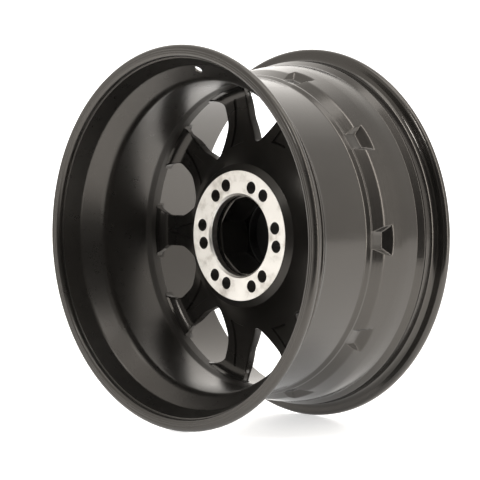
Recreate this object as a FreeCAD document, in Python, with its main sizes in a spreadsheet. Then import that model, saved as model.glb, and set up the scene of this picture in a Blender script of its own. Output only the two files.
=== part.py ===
import FreeCAD, Part
import math
import os
import Sketcher

# Aluminium wheel, 18 x 9 in, in millimetres: axis along Y, rear (hub) side towards -Y, +Z up.

SIZES = [
    ("rim_width", 228.6, "between the two flange faces"),
    ("flange_thick", 12.35, "flange thickness along the axis"),
    ("bead_radius", 230.9, "bead seat radius at the heel"),
    ("flange_height", 16.9, "flange above the bead seat"),
    ("flange_round", 5.6, "rounding of the flange tips"),
    ("heel_round", 7.5, "hollow round between bead seat and flange"),
    ("seat_width", 17.0, "bead seat from flange face to hump foot"),
    ("seat_drop", 1.6, "fall of the bead seat towards its hump"),
    ("hump_height", 1.9, "hump above the bead seat foot"),
    ("hump_width", 3.0, "half width of a hump"),
    ("drop_depth", 22.9, "drop centre below the bead seat"),
    ("cone_length", 21.3, "rear cone from hump to drop centre, along the axis"),
    ("wall", 6.0, "barrel wall at the drop centre"),
    ("edge_round", 2.0, "small rounds of the barrel section"),
    ("drop_round", 10.0, "round at the rear end of the drop centre"),
    ("ridge_rise", 3.3, "small ridge above the drop centre"),
    ("ridge_run", 6.2, "rise of the ridge along the axis"),
    ("ridge_land", 2.4, "width of the ridge land"),
    ("slope_run", 14.4, "slope from the ridge to the ledge, along the axis"),
    ("ledge_depth", 12.4, "start of the ledge below the bead seat"),
    ("ledge_run", 35.0, "first stretch of the ledge, along the axis"),
    ("ledge_mid_depth", 5.9, "kink of the ledge below the bead seat"),
    ("ledge_end_depth", 5.1, "end of the ledge below the bead seat"),
    ("hump_foot", 6.8, "end of the ledge behind the front hump"),
    ("lip_wall", 6.5, "wall of the front lip at the disc"),
    ("mouth_depth", 11.4, "mouth of the front lip below the bead seat"),
    ("lip_round", 6.0, "rounding of the front lip mouth"),
    ("cone_wall", 6.5, "inner edge of the rear cone below the seat foot"),
    ("cone_set", 2.2, "that edge behind the hump"),
    ("heel_wall", 2.1, "inner edge below the rear heel"),
    ("heel_set", 1.8, "that edge in front of the flange face"),
    ("mouth_rise", 1.3, "rear mouth above the bead seat"),
    ("mouth_round", 4.0, "rounding of the rear mouth"),
    ("rear_step", 1.6, "small step inside the rear flange"),
    ("step_out", 4.0, "that step behind the flange face"),
    ("spoke_back", 37.5, "rear plane of the spoke ends, in front of the middle"),
    ("ring_step", 1.5, "ring at the windows inside the barrel wall"),
    ("ring_reach", 21.0, "rear edge of the ring behind the spoke ends"),
    ("ring_slope", 9.5, "slope behind the ring, along the axis"),
    ("shelf_back", 7.5, "front face of the ring behind the spoke ends"),
    ("bell_margin", 20.5, "flat spoke end inside the ring"),
    ("foot_margin", 9.2, "foot of the bell outside the hub face"),
    ("foot_rise", 6.28, "foot of the bell above the hub face"),
    ("bell_stub", 5.0, "straight end of the bell inside the hub"),
    ("spoke_thick", 14.0, "disc thickness at the spoke edges"),
    ("spoke_root_round", 15.0, "hollow round from spoke end to barrel"),
    ("face_offset", 12.85, "hub face behind the middle of the rim"),
    ("pad_radius", 85.8, "outer radius of the hub face"),
    ("pad_edge", 2.4, "bevel outside the hub face"),
    ("bore_radius", 53.05, "pilot bore radius"),
    ("bore_chamfer", 2.95, "chamfer of the pilot bore"),
    ("bore_length", 19.0, "machined length of the pilot bore"),
    ("core_radius", 52.6, "corner radius of the eight-sided core in front of the bore"),
    ("core_turn", 5.5, "turn of the core's corners"),
    ("lug_seat", 20.85, "hub thickness under the lug nuts"),
    ("tube_wall", 5.0, "wall of the cap tube outside the core"),
    ("tube_height", 58.0, "cap tube in front of the lug deck"),
    ("tube_taper", 2.0, "taper of the cap tube"),
    ("tube_root", 6.0, "hollow round at the foot of the cap tube"),
    ("cap_hole_radius", 48.5, "radius of the cap hole"),
    ("cap_lip", 5.0, "length of the cap hole"),
    ("spoke_count", 10.0, "spokes, windows and barrel pockets"),
    ("spoke_half", 21.0, "half width of a spoke outside"),
    ("window_depth", 80.9, "corner where the window sides would meet, inside the ring"),
    ("window_half_angle", 38.0, "angle of the inner window sides to the window's middle line"),
    ("apex_round", 7.0, "rounding of the inner window corner"),
    ("side_round", 36.0, "rounding between inner and outer window side"),
    ("corner_round", 14.0, "rounding of the outer window corners"),
    ("relief_half", 17.5, "half width of a spoke in front of the ring"),
    ("relief_round", 6.0, "rounding of the relief in front of the ring"),
    ("relief_cut", 1.2, "relief into the lip"),
    ("crown_rise", 10.0, "spoke crown in front of the disc"),
    ("crown_base_half", 18.5, "half width of the spoke crown inside the disc"),
    ("crown_top_half", 10.5, "half width of the spoke crown at its top"),
    ("recess_depth", 2.6, "depth of the back recess in each spoke"),
    ("recess_end", 12.0, "outer end of the back recess inside the ring"),
    ("recess_length", 62.5, "length of the back recess"),
    ("recess_inner_half", 12.5, "half width of the recess at its inner end"),
    ("recess_outer_half", 1.6, "half width of the recess at its outer end"),
    ("pocket_rise", 3.0, "barrel pocket floor above the drop centre"),
    ("pocket_floor_half", 10.5, "half width of the pocket floor"),
    ("pocket_run", 2.7, "front end of the pocket floor beyond the ledge's start"),
    ("pocket_depth", 15.0, "height of the pocket walls, past the ledge"),
    ("pocket_flare", 15.0, "flare of each side wall over that height"),
    ("pocket_lean", 15.8, "lean of the front wall over that height"),
    ("lug_count", 6.0, "holes in each lug circle"),
    ("lug_radius", 8.0, "lug hole radius"),
    ("lug_circle_small", 67.5, "radius of the small lug circle"),
    ("lug_circle_large", 69.85, "radius of the large lug circle"),
    ("lug_spread", 20.0, "angle between the holes of a lug pair"),
    ("seat_radius", 11.4, "mouth radius of the conical lug seats"),
    ("seat_depth", 5.0, "depth of the conical lug seats"),
    ("seat_angle", 30.0, "half angle of the conical lug seats"),
    ("valve_radius", 5.65, "valve hole radius"),
    ("valve_up", 14.0, "valve hole middle outside the drop centre wall"),
    ("cap_gap", 0.3, "clearance of the cap in its hole"),
    ("cap_overlap", 7.5, "cap flange outside the cap hole"),
    ("cap_thick", 4.0, "thickness of the cap flange"),
    ("cap_round", 2.0, "rounding of the cap flange"),
    ("cap_crown", 3.0, "rise of the cap front"),
    ("cap_skirt", 12.0, "length of the cap skirt"),
    ("cap_wall", 3.0, "wall of the cap skirt"),
]

doc = FreeCAD.newDocument("aluminium_wheel")
sheet = doc.addObject("Spreadsheet::Sheet", "Sizes")
for row, (alias, number, note) in enumerate(SIZES, start=1):
    sheet.set("A%d" % row, note)
    sheet.set("B%d" % row, str(number))
    sheet.setAlias("B%d" % row, alias)
doc.recompute()


class Size:
    """A number together with the sheet expression that gives it."""

    def __init__(self, number, text):
        self.number = number
        self.text = text

    def joined(self, sign, other, number):
        return Size(number, "(%s %s %s)" % (self.text, sign, other.text))

    def __add__(self, other):
        other = sized(other)
        return self.joined("+", other, self.number + other.number)

    def __radd__(self, other):
        return sized(other) + self

    def __sub__(self, other):
        other = sized(other)
        return self.joined("-", other, self.number - other.number)

    def __rsub__(self, other):
        return sized(other) - self

    def __mul__(self, other):
        other = sized(other)
        return self.joined("*", other, self.number * other.number)

    def __rmul__(self, other):
        return sized(other) * self

    def __truediv__(self, other):
        other = sized(other)
        return self.joined("/", other, self.number / other.number)

    def __neg__(self):
        return sized(0) - self


def sized(value):
    """A Size from a Size or a plain number."""
    return value if isinstance(value, Size) else Size(float(value), repr(float(value)))


def size(alias):
    """The sheet's size of that name."""
    return Size(float(sheet.get(alias)), "Sizes." + alias)


def root(value):
    return Size(math.sqrt(value.number), "sqrt(%s)" % value.text)


def sine(value):
    return Size(math.sin(math.radians(value.number)), "sin(%s * 1 deg)" % value.text)


def cosine(value):
    return Size(math.cos(math.radians(value.number)), "cos(%s * 1 deg)" % value.text)


def origin_part(body, role):
    """Plane or axis of the body's own origin."""
    return [part for part in body.Origin.OriginFeatures if part.Role == role][0]


def new_sketch(body, name, plane, offset=None):
    """Sketch on one of the body's origin planes, moved along its normal by offset."""
    sketch = body.newObject("Sketcher::SketchObject", name)
    sketch.AttachmentSupport = [(origin_part(body, plane), "")]
    sketch.MapMode = "FlatFace"
    if offset is not None:
        sketch.AttachmentOffset = FreeCAD.Placement(
            FreeCAD.Vector(0, 0, offset.number), FreeCAD.Rotation())
        sketch.setExpression("AttachmentOffset.Base.z", offset.text)
    return sketch


def bind(sketch, constraint, length):
    """Add a dimension whose value is a sheet expression; a negative one is measured the other way."""
    index = sketch.addConstraint(constraint)
    sketch.setExpression("Constraints[%d]" % index, length.text)
    return index


def tangent_point(corner, other, distance):
    """Point on the line from corner to other, at distance from corner."""
    line = other - corner
    return corner + line * (distance / line.Length)


def outline(sketch, corners):
    """Closed outline of lines through corners (x, y, round); each round becomes a tangent arc."""
    count = len(corners)
    points = [FreeCAD.Vector(sized(x).number, sized(y).number, 0) for x, y, _ in corners]
    starts, ends, arcs = [], [], []
    for i, (_, _, radius) in enumerate(corners):
        before, here, after = points[i - 1], points[i], points[(i + 1) % count]
        if radius is None:
            starts.append(here)
            ends.append(here)
            arcs.append(None)
            continue
        turn = (here - before).getAngle(after - here)
        reach = radius.number * math.tan(turn / 2)
        first = tangent_point(here, before, reach)
        last = tangent_point(here, after, reach)
        bisector = (first + last) * 0.5 - here
        depth = radius.number / math.cos(turn / 2)
        centre = here + bisector * (depth / bisector.Length)
        middle = centre + (here - centre) * (radius.number / (here - centre).Length)
        starts.append(last)
        ends.append(first)
        arcs.append(Part.Arc(first, middle, last))
    lines = [Part.LineSegment(starts[i], ends[(i + 1) % count]) for i in range(count)]
    line_ids = sketch.addGeometry(lines, False)
    for i, (x, y, radius) in enumerate(corners):
        before, after = line_ids[i - 1], line_ids[i]
        if arcs[i] is None:
            sketch.addConstraint(Sketcher.Constraint("Coincident", before, 2, after, 1))
            place(sketch, after, 1, x, y)
            continue
        arc = sketch.addGeometry(arcs[i], False)
        turned = (points[i] - points[i - 1]).cross(points[(i + 1) % count] - points[i]).z
        first, last = (1, 2) if turned > 0 else (2, 1)
        sketch.addConstraint([
            Sketcher.Constraint("Tangent", before, 2, arc, first),
            Sketcher.Constraint("Tangent", after, 1, arc, last)])
        bind(sketch, Sketcher.Constraint("Radius", arc, radius.number), radius)
        corner = sketch.addGeometry(Part.Point(points[i]), True)
        sketch.addConstraint([
            Sketcher.Constraint("PointOnObject", corner, 1, before),
            Sketcher.Constraint("PointOnObject", corner, 1, after)])
        place(sketch, corner, 1, x, y)


def place(sketch, geometry, vertex, x, y):
    """Dimension a vertex from the sketch origin."""
    for kind, value in (("DistanceX", sized(x)), ("DistanceY", sized(y))):
        bind(sketch, Sketcher.Constraint(kind, -1, 1, geometry, vertex, value.number), value)


def revolved(body, name, sketch):
    """Full turn of the sketch about the wheel axis."""
    feature = body.newObject("PartDesign::Revolution", name)
    feature.Profile = sketch
    feature.ReferenceAxis = (sketch, ["V_Axis"])
    feature.Angle = 360
    return feature


half_width = size("rim_width") / 2
overall = half_width + size("flange_thick")
bead = size("bead_radius")
seat_foot = bead - size("seat_drop")
after_hump = half_width - size("seat_width") - size("hump_width") * 2
drop = bead - size("drop_depth")
drop_rear = size("cone_length") - after_hump
drop_inside = drop - size("wall")
spoke_back = size("spoke_back")
ring = drop_inside - size("ring_step")
ring_rear = spoke_back - size("ring_reach")
shelf = spoke_back - size("shelf_back")
drop_front = ring_rear - size("ring_slope")
ledge = bead - size("ledge_depth")
ledge_at = drop_front + size("ridge_run") + size("ridge_land") + size("slope_run")
lip = ledge - size("lip_wall")
pad_at = -size("face_offset")
deck = pad_at + size("lug_seat")
hub_front = deck + size("tube_height")
bell_rim = ring - size("bell_margin")
bell_foot = size("pad_radius") + size("foot_margin")
bell_out = bell_rim - bell_foot
bell_drop = spoke_back - pad_at - size("foot_rise")
bell_radius = (bell_out * bell_out + bell_drop * bell_drop) / bell_drop / 2
bell_centre = spoke_back - bell_radius


def bell_back(x):
    """Axial place of the rear bell at distance x from the axis: an arc, then the flat spoke ends."""
    if x.number >= bell_rim.number:
        return spoke_back
    return bell_centre + root(bell_radius * bell_radius - (bell_rim - x) * (bell_rim - x))


def bell_front(x):
    """Axial place of the disc's front, an arc about the same centre."""
    if x.number >= bell_rim.number:
        return spoke_back + size("spoke_thick")
    reach = bell_radius + size("spoke_thick")
    return bell_centre + root(reach * reach - (bell_rim - x) * (bell_rim - x))


def barrel_corners():
    """Barrel section from the rear flange tip along the tyre side to the front, and back inside."""
    flange = bead + size("flange_height")
    foot_at = half_width - size("seat_width")
    crest = seat_foot + size("hump_height")
    crest_at = foot_at - size("hump_width")
    ridge = drop + size("ridge_rise")
    ridge_at = drop_front + size("ridge_run")
    rear_mouth = bead + size("mouth_rise")
    step_at = -(half_width + size("step_out"))
    tip = size("flange_round")
    small = size("edge_round")
    return [
        (flange, -overall, tip),
        (flange, -half_width, tip),
        (bead, -half_width, size("heel_round")),
        (seat_foot, -foot_at, small),
        (crest, -crest_at, small),
        (seat_foot, -after_hump, small),
        (drop, drop_rear, size("drop_round")),
        (drop, drop_front, size("wall")),
        (ridge, ridge_at, None),
        (ridge, ridge_at + size("ridge_land"), None),
        (ledge, ledge_at, small),
        (bead - size("ledge_mid_depth"), ledge_at + size("ledge_run"), None),
        (bead - size("ledge_end_depth"), after_hump - size("hump_foot"), small),
        (crest, crest_at, small),
        (seat_foot, foot_at, small),
        (bead, half_width, size("heel_round")),
        (flange, half_width, tip),
        (flange, overall, tip),
        (bead - size("mouth_depth"), overall, size("lip_round")),
        (lip, shelf, None),
        (ring, shelf, None),
        (ring, ring_rear, None),
        (drop_inside, drop_front, None),
        (drop_inside, drop_rear, size("drop_round")),
        (seat_foot - size("cone_wall"), -(after_hump + size("cone_set")), small),
        (bead - size("heel_wall"), -(half_width - size("heel_set")), None),
        (rear_mouth - size("rear_step"), step_at, None),
        (rear_mouth, step_at, None),
        (rear_mouth, -overall, size("mouth_round")),
    ]


def disc_corners():
    """Disc section: rear bell and front bell about one centre, joined to the barrel outside."""
    rise = bell_radius - bell_drop
    grown = (bell_radius + size("spoke_thick")) / bell_radius
    corner_in = bell_drop * rise / bell_out
    stub = size("bell_stub") / bell_radius
    front_at = spoke_back + size("spoke_thick")
    inside_wall = lip + size("lip_wall") / 2
    low = spoke_back - size("spoke_root_round") - size("edge_round")
    return [
        (bell_foot - rise * stub, bell_centre + rise - bell_out * stub, None),
        (bell_foot + corner_in, spoke_back, bell_radius),
        (ring, spoke_back, size("spoke_root_round")),
        (ring, low, None),
        (drop_inside + size("wall") / 2, low, None),
        (inside_wall, spoke_back, None),
        (inside_wall, front_at, None),
        (bell_rim - bell_out * grown + corner_in * grown, front_at, bell_radius + size("spoke_thick")),
        (bell_rim - bell_out * grown - rise * stub, bell_centre + rise * grown - bell_out * stub, None),
    ]


def hub_corners():
    """Hub section: mounting pad, pilot bore, lug deck and the cap tube in front."""
    bore_end = pad_at + size("bore_length")
    tube = size("core_radius") + size("tube_wall")
    inside_disc = bell_foot + size("spoke_thick") / 4
    return [
        (size("bore_radius") + size("bore_chamfer"), pad_at, None),
        (size("pad_radius"), pad_at, None),
        (bell_foot - size("pad_edge") / 4, pad_at + size("pad_edge"), size("edge_round") * 0.75),
        (inside_disc, pad_at + size("foot_rise") + size("spoke_thick") * 0.8, None),
        (bell_foot - size("spoke_thick") / 6, deck, None),
        (tube + size("tube_taper"), deck, size("tube_root")),
        (tube, hub_front, size("edge_round")),
        (size("cap_hole_radius"), hub_front, None),
        (size("cap_hole_radius"), bore_end, None),
        (size("bore_radius"), bore_end, None),
        (size("bore_radius"), pad_at + size("bore_chamfer"), None),
    ]


half_step = sized(180) / size("spoke_count")


def beside_spoke(along, aside):
    """Point of the window sketch, along the next spoke's middle line and aside of it."""
    return (along * sine(half_step) - aside * cosine(half_step),
            along * cosine(half_step) + aside * sine(half_step))


def mirrored(corners):
    """Corners of a right half, top to bottom of the middle line, and their mirror images."""
    return corners + [(-x, y, radius) for x, y, radius in reversed(corners[1:-1])]


ARC_HALF = sized(4)


def on_circle(radius, aside):
    """Point where the line beside the spoke meets the tangent that starts the arc of that radius."""
    lean = half_step - ARC_HALF
    return beside_spoke((radius - aside * sine(lean)) / cosine(lean), aside)


def window_corners():
    """One window, its middle line upwards."""
    apex = ring - size("window_depth")
    lean = size("window_half_angle")
    side = (apex * sine(half_step) - size("spoke_half")) / sine(lean - half_step)
    shoulder = on_circle(ring, size("spoke_half"))
    return mirrored([
        (sized(0), apex, size("apex_round")),
        (side * sine(lean), apex + side * cosine(lean), size("side_round")),
        (shoulder[0], shoulder[1], size("corner_round")),
        (sized(0), ring / cosine(ARC_HALF), ring),
    ])


def relief_corners():
    """Front relief between two spokes, from the window edge to the lip."""
    inner = ring - size("ring_step") / 4
    outer = lip + size("relief_cut")
    low = on_circle(inner, size("relief_half"))
    high = on_circle(outer, size("relief_half"))
    return mirrored([
        (sized(0), inner / cosine(ARC_HALF), inner),
        (low[0], low[1], None),
        (high[0], high[1], size("relief_round")),
        (sized(0), outer / cosine(ARC_HALF), outer),
    ])


def pocketed(body, name, sketch, forward=None):
    """Cut the sketch through both ways, or only towards the front by the length forward."""
    feature = body.newObject("PartDesign::Pocket", name)
    feature.Profile = sketch
    if forward is None:
        feature.Type = "ThroughAll"
        feature.Midplane = True
    else:
        feature.Type = "Length"
        feature.setExpression("Length", forward.text)
    return feature


def lofted(body, name, kind, sections):
    """Straight-sided loft through box or trapezoid sections (x, corners) across a radius."""
    sketches = []
    for i, (x, corners) in enumerate(sections):
        sketch = new_sketch(body, "%sSection%d" % (name, i), "YZ_Plane", x)
        outline(sketch, corners)
        sketches.append(sketch)
    feature = body.newObject(kind, name)
    feature.Profile = sketches[0]
    feature.Sections = sketches[1:]
    feature.Ruled = True
    return feature


def bar(low, low_half, high, high_half):
    """Trapezoid across a spoke from low to high along the axis."""
    return [(low, -low_half, None), (high, -high_half, None), (high, high_half, None), (low, low_half, None)]


def crown_sections():
    """Raised front of a spoke, which follows the bell from the hub to the lip."""
    outer = lip + size("lip_wall") / 4
    sections = []
    for share in (0.0, 0.12, 0.27, 0.45, 0.7, 1.0):
        x = bell_foot + (outer - bell_foot) * share
        middle = (bell_back(x) + bell_front(x)) / 2
        top = bell_front(x) + size("crown_rise")
        sections.append((x, bar(middle, size("crown_base_half"), top, size("crown_top_half"))))
    return sections


def recess_sections():
    """Shallow back recess that narrows outwards along a spoke."""
    outer = ring - size("recess_end")
    inner = outer - size("recess_length")
    sections = []
    for share in (0.0, 0.3, 0.6, 1.0):
        x = inner + (outer - inner) * share
        half = size("recess_inner_half") + (
            size("recess_outer_half") - size("recess_inner_half")) * share
        back = bell_back(x)
        sections.append((x, bar(back - size("spoke_thick"), half, back + size("recess_depth"), half)))
    return sections


def barrel_pocket_sections():
    """Tapered pocket outside the barrel at a spoke."""
    floor = drop + size("pocket_rise")
    floor_half = size("pocket_floor_half")
    floor_end = ledge_at + size("pocket_run")
    return [
        (floor, bar(drop_front, floor_half, floor_end, floor_half)),
        (floor + size("pocket_depth"), bar(
            drop_front, floor_half + size("pocket_flare"),
            floor_end + size("pocket_lean"), floor_half + size("pocket_flare"))),
    ]


def repeated(body, name, features, count):
    """Full circle of the features about the wheel axis."""
    pattern = body.newObject("PartDesign::PolarPattern", name)
    pattern.Originals = features
    pattern.Axis = (origin_part(body, "Y_Axis"), [""])
    pattern.Angle = 360
    pattern.setExpression("Occurrences", count.text)
    body.Tip = pattern
    return pattern


def core_corners():
    """Eight-sided cored space between the pilot bore and the cap hole."""
    corners = []
    for i in range(8):
        angle = sized(22.5 + 45 * i) + size("core_turn")
        corners.append((size("core_radius") * cosine(angle), size("core_radius") * sine(angle), None))
    return corners


def lug_pair(sketch, radius):
    """One round of each lug circle, either side of the middle line."""
    half_spread = size("lug_spread") / 2
    for circle, side in ((size("lug_circle_small"), 1), (size("lug_circle_large"), -1)):
        x = circle * cosine(half_spread)
        y = circle * sine(half_spread) * side
        centre = FreeCAD.Vector(x.number, y.number, 0)
        hole = sketch.addGeometry(Part.Circle(centre, FreeCAD.Vector(0, 0, 1), radius.number), False)
        bind(sketch, Sketcher.Constraint("Radius", hole, radius.number), radius)
        place(sketch, hole, 3, x, y)


def valve_corners():
    """Half section of the valve hole, square to the rear cone; its first side is the hole's axis."""
    out = seat_foot - size("cone_wall") - drop_inside
    back = after_hump + size("cone_set") + drop_rear
    slant = root(out * out + back * back)
    across = drop_rear - back * size("valve_up") / out
    up = drop_inside + size("valve_up")
    low, high = -size("wall") * 2, size("wall") * 3
    corners = []
    for along, aside in ((low, 0), (high, 0), (high, size("valve_radius")), (low, size("valve_radius"))):
        x = across + (along * out + back * aside) / slant
        y = up + (along * back - out * aside) / slant
        corners.append((x, y, None))
    return corners


def cap_corners():
    """Cap section: domed flange on the cap tube and a skirt inside the cap hole."""
    skirt = size("cap_hole_radius") - size("cap_gap")
    skirt_end = hub_front - size("cap_skirt")
    flange = size("cap_hole_radius") + size("cap_overlap")
    rim = hub_front + size("cap_thick")
    return [
        (sized(0), hub_front, None),
        (skirt - size("cap_wall"), hub_front, None),
        (skirt - size("cap_wall"), skirt_end, None),
        (skirt, skirt_end, None),
        (skirt, hub_front, None),
        (flange, hub_front, None),
        (flange, rim, size("cap_round")),
        (sized(0), rim + size("cap_crown"), None),
    ]


def build_wheel():
    """The casting: barrel, disc and hub turned, then crowns, windows, pockets and holes."""
    body = doc.addObject("PartDesign::Body", "Wheel")
    body.Label = "wheel"
    for name, corners in (("Barrel", barrel_corners()), ("Disc", disc_corners()), ("Hub", hub_corners())):
        section = new_sketch(body, name + "Section", "XY_Plane")
        outline(section, corners)
        revolved(body, name, section)
    crown = lofted(body, "Crown", "PartDesign::AdditiveLoft", crown_sections())
    repeated(body, "Crowns", [crown], size("spoke_count"))
    window_sketch = new_sketch(body, "WindowOutline", "XZ_Plane")
    outline(window_sketch, window_corners())
    window = pocketed(body, "Window", window_sketch)
    relief_sketch = new_sketch(body, "ReliefOutline", "XZ_Plane", -shelf)
    outline(relief_sketch, relief_corners())
    relief = pocketed(body, "Relief", relief_sketch, size("rim_width"))
    barrel_pocket = lofted(body, "BarrelPocket", "PartDesign::SubtractiveLoft", barrel_pocket_sections())
    recess = lofted(body, "Recess", "PartDesign::SubtractiveLoft", recess_sections())
    repeated(body, "SpokeCuts", [window, relief, barrel_pocket, recess], size("spoke_count"))
    core_start = pad_at + size("bore_length")
    core_sketch = new_sketch(body, "CoreOutline", "XZ_Plane", -core_start)
    outline(core_sketch, core_corners())
    pocketed(body, "Core", core_sketch, hub_front - size("cap_lip") - core_start)
    lug_sketch = new_sketch(body, "LugPair", "XZ_Plane")
    lug_pair(lug_sketch, size("lug_radius"))
    lugs = pocketed(body, "Lugs", lug_sketch)
    seat_sketch = new_sketch(body, "LugSeats", "XZ_Plane", -deck)
    lug_pair(seat_sketch, size("seat_radius"))
    seats = pocketed(body, "Seats", seat_sketch, size("seat_depth"))
    seats.Reversed = True
    seats.setExpression("TaperAngle", (-size("seat_angle")).text)
    sockets = pocketed(body, "Sockets", seat_sketch, size("tube_height") * 2)
    repeated(body, "LugCuts", [lugs, seats, sockets], size("lug_count"))
    valve_sketch = new_sketch(body, "ValveSection", "YZ_Plane")
    outline(valve_sketch, valve_corners())
    valve = body.newObject("PartDesign::Groove", "ValveHole")
    valve.Profile = valve_sketch
    valve.ReferenceAxis = (valve_sketch, ["Edge1"])
    valve.Angle = 360
    body.Tip = valve
    return body


def build_cap():
    """Cap that closes the front of the hub."""
    body = doc.addObject("PartDesign::Body", "CenterCap")
    body.Label = "center_cap"
    section = new_sketch(body, "CapSection", "XY_Plane")
    outline(section, cap_corners())
    revolved(body, "Cap", section)
    return body


bodies = [build_wheel(), build_cap()]
doc.recompute()
for item in doc.Objects:
    if "Invalid" in item.State or "Error" in item.State:
        raise RuntimeError("not built: " + item.Name)
os.makedirs("parts", exist_ok=True)
for body in bodies:
    if body.Shape.isNull() or not body.Shape.isValid():
        raise RuntimeError("bad shape: " + body.Label)
    print(body.Label, len(body.Shape.Solids), round(body.Shape.Volume))
    body.Shape.exportStep("parts/" + body.Label + ".step")
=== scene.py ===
import math

import bmesh
import bpy
import numpy as np
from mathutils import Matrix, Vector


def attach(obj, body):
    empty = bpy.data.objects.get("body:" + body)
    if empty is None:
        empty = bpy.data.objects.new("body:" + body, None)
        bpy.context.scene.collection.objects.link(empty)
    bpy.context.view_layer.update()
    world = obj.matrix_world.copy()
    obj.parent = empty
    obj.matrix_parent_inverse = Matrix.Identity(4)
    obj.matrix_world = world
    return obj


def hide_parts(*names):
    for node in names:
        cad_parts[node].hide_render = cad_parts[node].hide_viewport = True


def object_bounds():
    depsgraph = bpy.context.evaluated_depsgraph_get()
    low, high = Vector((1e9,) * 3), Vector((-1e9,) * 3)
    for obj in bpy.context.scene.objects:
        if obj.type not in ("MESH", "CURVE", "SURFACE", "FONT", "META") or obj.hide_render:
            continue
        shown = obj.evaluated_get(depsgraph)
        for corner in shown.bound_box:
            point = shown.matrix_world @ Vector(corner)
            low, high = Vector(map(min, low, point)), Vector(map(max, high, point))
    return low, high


bl_info = {
    "name": "Cast Wheel",
    "version": (1, 0, 0),
    "blender": (4, 5, 0),
    "location": "3D View > Sidebar > Wheel",
    "description": "Builds a coated cast wheel with a bare hub face, its cap and a white studio",
    "category": "Add Mesh",
}

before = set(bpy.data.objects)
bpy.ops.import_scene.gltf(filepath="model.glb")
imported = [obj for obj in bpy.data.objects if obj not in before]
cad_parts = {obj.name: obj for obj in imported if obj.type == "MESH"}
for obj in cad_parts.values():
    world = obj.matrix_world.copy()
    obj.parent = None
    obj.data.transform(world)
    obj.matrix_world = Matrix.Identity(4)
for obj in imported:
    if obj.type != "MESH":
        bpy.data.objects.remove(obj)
CAD_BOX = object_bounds()

# Lengths are in millimetres up to the mesh, which is in metres. The axis is Y, distances are from it,
# and the hub side, which the camera sees, is at negative Y. Lamp places are in metres.
MM = 0.001
SPOKES = 10
SECTOR = math.radians(36)
HALF_SECTOR = SECTOR / 2
HALF_WIDTH = 114.3
OVERALL = 126.65
RING = 200.5
RING_FRONT = 30.0
LIP = 212.0
BELL_RIM = 180.0
BELL_RADIUS = 104.0
BELL_CENTRE = -66.5
BELL_FOOT = 95.0
SPOKE_BACK = 37.5
SPOKE_THICK = 14.0
PAD_AT = -12.85
PAD_EDGE = 86.2
BORE_MOUTH = 56.3
DECK = 8.0
HUB_FRONT = 66.0
CAP_SEAT = 60.95
CAP_HOLE_EDGE = 48.7
CORE = 48.6
CORE_TURN = math.radians(28.0)
LUG_BAND = (56.6, 81.5)
CREASE = math.radians(38)
BARREL_MIDDLE = 205.0
DROP_REAR = -70.0
CONE_SLOPE = 0.93
POCKET_HALF = 10.5
POCKET_FOOT = 32.7
POCKET_TOP = 48.5
POCKET_RISE = 15.0
POCKET_REACH = (9.0, 60.0)
POCKET_BACK = (12.0, 48.0)
POCKET_WALL = 4.0
CROWN_TOP = 10.5
CROWN_FOOT = 15.2
CROWN_EDGE = 0.9
RECESS_ENDS = (126.0, 188.5)
RECESS_HALVES = (12.5, 1.6)
RECESS_EDGE = 0.7
SPOKE_END = (184.2, RING + 1.95)
SPOKE_END_HALVES = (19.2, 16.7)
ROOT_ROUND = 0.8
DISC_INNER = 86.2
VALVE_AT = (0.0, -85.82, 216.0)
VALVE_AXIS = (0.0, 0.66278, 0.74881)
LUG_CIRCLES = ((67.5, 10.0), (69.85, -10.0))
LUG_SEAT_AT = 3.0
LUG_SEAT = 8.51
LUG_SOCKET = 11.4
KEY_LAMP_AT = (0.77, -2.37, 2.0)
TOP_LAMP_AT = (0.3, -0.4, 3.0)


class WheelSizes(bpy.types.PropertyGroup):
    """Sizes that shape the finer forms of the wheel."""

    edge_round: bpy.props.FloatProperty(
        name="Window edge", description="Rounding of the window edges",
        default=0.0018, min=0.0004, max=0.004, unit="LENGTH")
    recess_depth: bpy.props.FloatProperty(
        name="Back recess", description="Depth of the recess on the back of each spoke",
        default=0.0026, min=0.0, max=0.006, unit="LENGTH")
    crown_rise: bpy.props.FloatProperty(
        name="Spoke crown", description="Rise of the spoke crown in front of the disc",
        default=0.010, min=0.0, max=0.02, unit="LENGTH")
    pocket_floor: bpy.props.FloatProperty(
        name="Pocket floor", description="Distance of the barrel pocket floors from the axis",
        default=0.211, min=0.209, max=0.216, unit="LENGTH")
    valve_radius: bpy.props.FloatProperty(
        name="Valve hole", description="Radius of the valve hole",
        default=0.00565, min=0.003, max=0.009, unit="LENGTH")
    lug_radius: bpy.props.FloatProperty(
        name="Lug hole", description="Radius of the lug holes",
        default=0.008, min=0.006, max=0.0085, unit="LENGTH")


class WheelFinish(bpy.types.PropertyGroup):
    """Colours and gloss of the finishes."""

    coat: bpy.props.FloatVectorProperty(
        name="Coat", description="Colour of the satin coat",
        default=(0.0085, 0.0080, 0.0075), size=3, min=0.0, max=1.0, subtype="COLOR")
    coat_worn: bpy.props.FloatVectorProperty(
        name="Coat light", description="Lighter patches of the coat",
        default=(0.016, 0.015, 0.0138), size=3, min=0.0, max=1.0, subtype="COLOR")
    coat_roughness: bpy.props.FloatProperty(
        name="Coat roughness", description="Mean roughness of the coat",
        default=0.16, min=0.05, max=1.0, subtype="FACTOR")
    bare: bpy.props.FloatVectorProperty(
        name="Bare metal", description="Colour of the machined aluminium",
        default=(0.76, 0.735, 0.69), size=3, min=0.0, max=1.0, subtype="COLOR")
    bare_stain: bpy.props.FloatVectorProperty(
        name="Stain", description="Colour of the stains on the machined aluminium",
        default=(0.52, 0.49, 0.44), size=3, min=0.0, max=1.0, subtype="COLOR")
    cap: bpy.props.FloatVectorProperty(
        name="Cap", description="Colour of the cap",
        default=(0.008, 0.0078, 0.0076), size=3, min=0.0, max=1.0, subtype="COLOR")


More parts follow.
